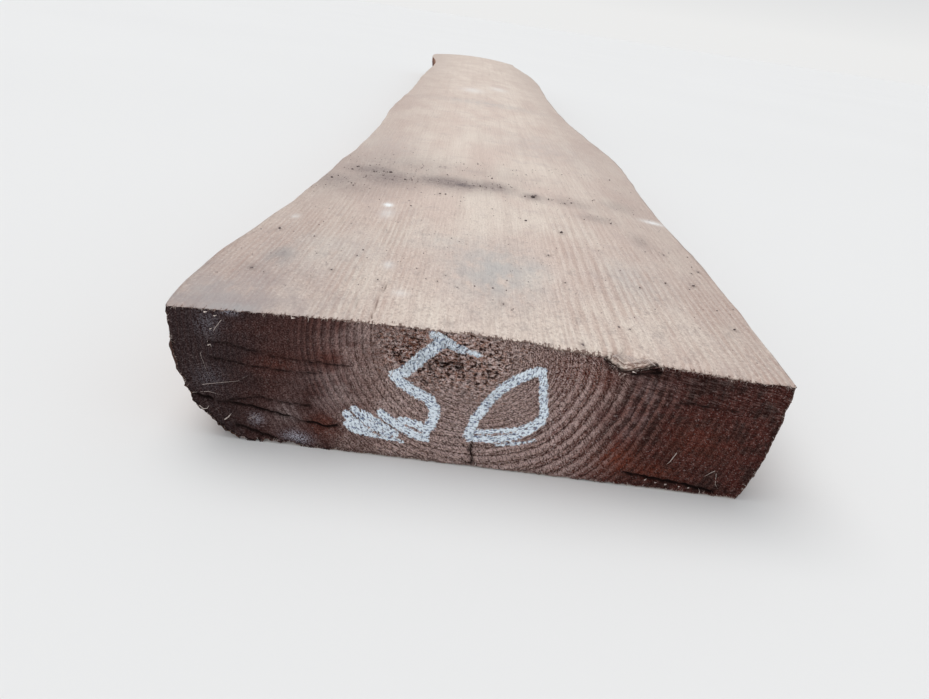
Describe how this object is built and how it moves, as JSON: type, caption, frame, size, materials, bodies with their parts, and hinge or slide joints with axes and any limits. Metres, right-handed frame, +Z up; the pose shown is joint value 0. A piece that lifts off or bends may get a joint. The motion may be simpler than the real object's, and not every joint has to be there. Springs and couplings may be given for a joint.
{
  "type": "unedged timber plank",
  "caption": "Rough-sawn softwood plank with a flat lower face, a slightly crowned upper face, wavy natural long edges that lean in below, and square-cut ends.",
  "frame": {"origin": "on the floor under the middle of the plank, at the bottom centre of its box", "axes": "+Y along the plank from the marked end to the plain end, +X across its width, +Z up out of the wide upper face, which is the heart side of the log"},
  "size_m": [0.2377, 1.7, 0.0569],
  "materials": {
    "timber": "dry rough-sawn wood, matt, greyed in patches, with red-brown natural edges"
  },
  "bodies": {
    "root": {"plank": "timber"}
  },
  "joints": []
}
